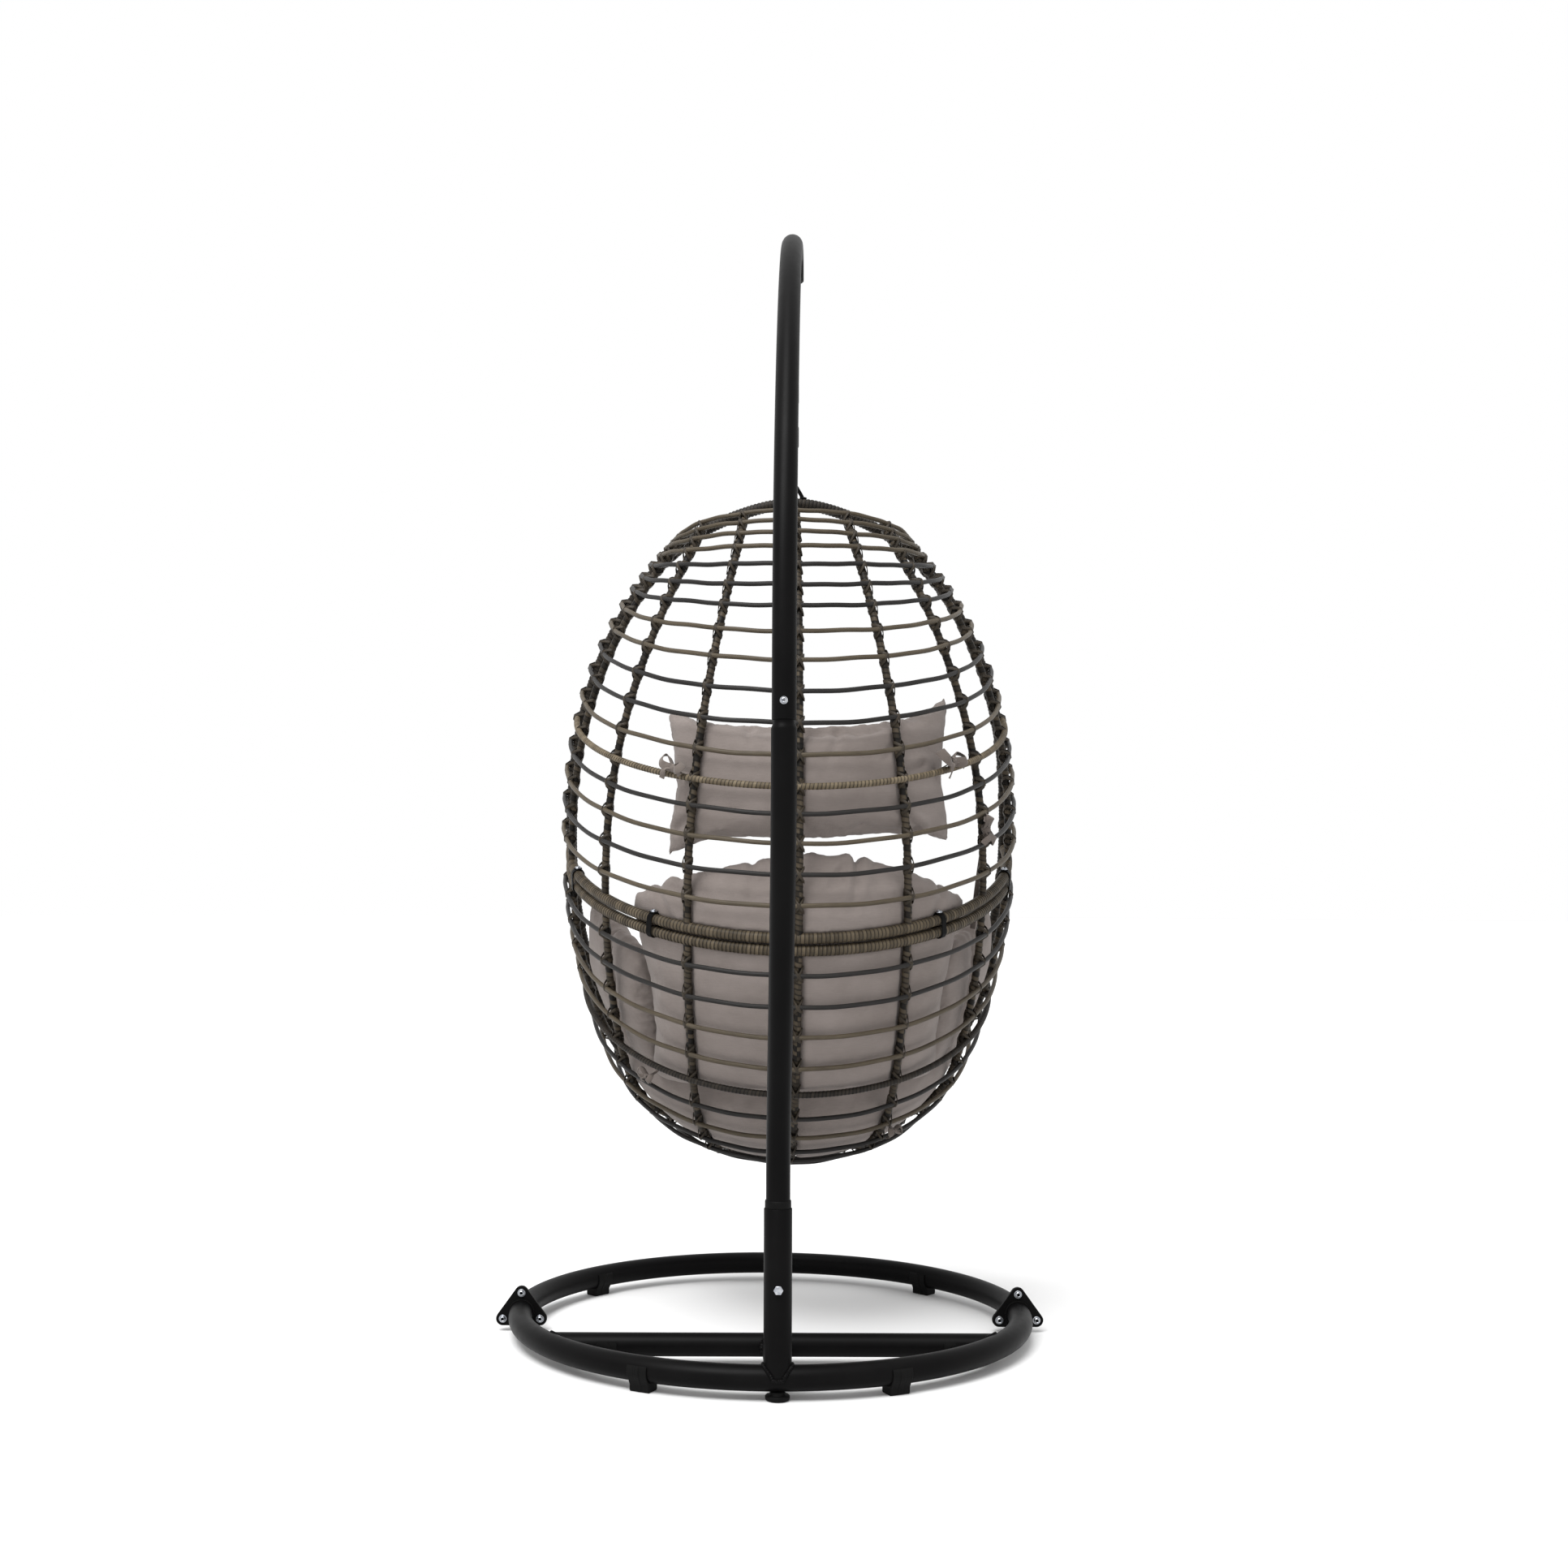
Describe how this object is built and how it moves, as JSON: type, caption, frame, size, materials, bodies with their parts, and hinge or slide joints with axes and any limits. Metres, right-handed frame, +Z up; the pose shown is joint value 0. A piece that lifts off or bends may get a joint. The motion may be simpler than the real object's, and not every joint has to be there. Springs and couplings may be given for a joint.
{
  "type": "hanging egg chair",
  "caption": "Hanging egg chair: an open-front woven basket with seat cushion and head pillow, hung by chain and carabiner from a curved steel mast on a round tube base.",
  "frame": {"origin": "middle of the footprint box of the whole chair, on the floor", "axes": "+Z up, -Y towards the basket's open front, +Y towards the mast behind it, +X to the right seen from the front"},
  "size_m": [1.0008, 1.148, 1.9783],
  "materials": {
    "black_steel": "satin",
    "black_plastic": "matte",
    "zinc": "satin",
    "wicker_taupe": "satin",
    "wicker_dark": "satin",
    "fabric_grey": "matte"
  },
  "bodies": {
    "stand": {"ring_rear": "black_steel", "ring_front": "black_steel", "crossbar": "black_steel", "link_tube": "black_steel", "mast_socket": "black_steel", "socket_collar": "black_plastic", "flange_rear_left": "black_steel", "flange_front_left": "black_steel", "flange_bolt_top_left": "zinc", "flange_bolt_outer_left": "zinc", "flange_bolt_inner_left": "zinc", "foot_front_left": "black_plastic", "foot_rear_left": "black_plastic", "foot_crossbar_left": "black_plastic", "flange_rear_right": "black_steel", "flange_front_right": "black_steel", "flange_bolt_top_right": "zinc", "flange_bolt_outer_right": "zinc", "flange_bolt_inner_right": "zinc", "foot_front_right": "black_plastic", "foot_rear_right": "black_plastic", "foot_crossbar_right": "black_plastic", "foot_pad_mast": "black_plastic", "lower_post": "black_steel", "upper_arm": "black_steel", "arm_screw": "zinc", "socket_bolt": "zinc", "arm_end_cap": "black_plastic", "hanging_eye": "zinc"},
    "chain_top": {"chain_link_1": "black_steel"},
    "chain_mid": {"chain_link_2": "black_steel", "chain_link_3": "black_steel", "chain_link_4": "black_steel"},
    "chain_low": {"chain_link_5": "black_steel", "chain_link_6": "black_steel", "chain_link_7": "black_steel"},
    "carabiner": {"carabiner_body": "zinc"},
    "gate": {"carabiner_gate": "zinc"},
    "basket": {"hoop_upper": "wicker_dark", "hoop_lower": "wicker_dark", "rim_upper": "wicker_dark", "rim_lower": "wicker_dark", "ribs_upper": "wicker_dark", "ribs_lower": "wicker_dark", "weave_upper": "wicker_taupe", "weave_lower": "wicker_taupe", "rim_clamp_1": "black_steel", "rim_clamp_2": "black_steel", "rim_clamp_3": "black_steel", "rim_clamp_4": "black_steel", "basket_loop": "black_steel", "seat_cushion": "fabric_grey", "head_pillow": "fabric_grey"}
  },
  "joints": [
    {"name": "side_swing", "type": "hinge", "parent": "stand", "child": "chain_top", "pos_m": [-0.03805, -0.09904, 1.8914], "axis": [0, 1, 0], "range_deg": [-8, 8]},
    {"name": "fore_aft_swing", "type": "hinge", "parent": "chain_top", "child": "chain_mid", "pos_m": [-0.03805, -0.09904, 1.85295], "axis": [1, 0, 0], "range_deg": [-18, 7]},
    {"name": "swivel", "type": "hinge", "parent": "chain_mid", "child": "chain_low", "pos_m": [-0.03805, -0.09904, 1.7338], "axis": [0, 0, 1], "range_deg": [-25, 25]},
    {"name": "carabiner_nod", "type": "hinge", "parent": "chain_low", "child": "carabiner", "pos_m": [-0.03805, -0.09904, 1.61475], "axis": [1, 0, 0], "range_deg": [-5, 3]},
    {"name": "basket_roll", "type": "hinge", "parent": "carabiner", "child": "basket", "pos_m": [-0.03805, -0.09904, 1.5399], "axis": [0, 1, 0], "range_deg": [-4, 4]},
    {"name": "gate_opening", "type": "hinge", "parent": "carabiner", "child": "gate", "pos_m": [-0.03805, -0.08604, 1.5945], "axis": [1, 0, 0], "range_deg": [-25, 0], "stiffness_Nm_per_rad": 0.05, "springref_deg": 17.19}
  ]
}
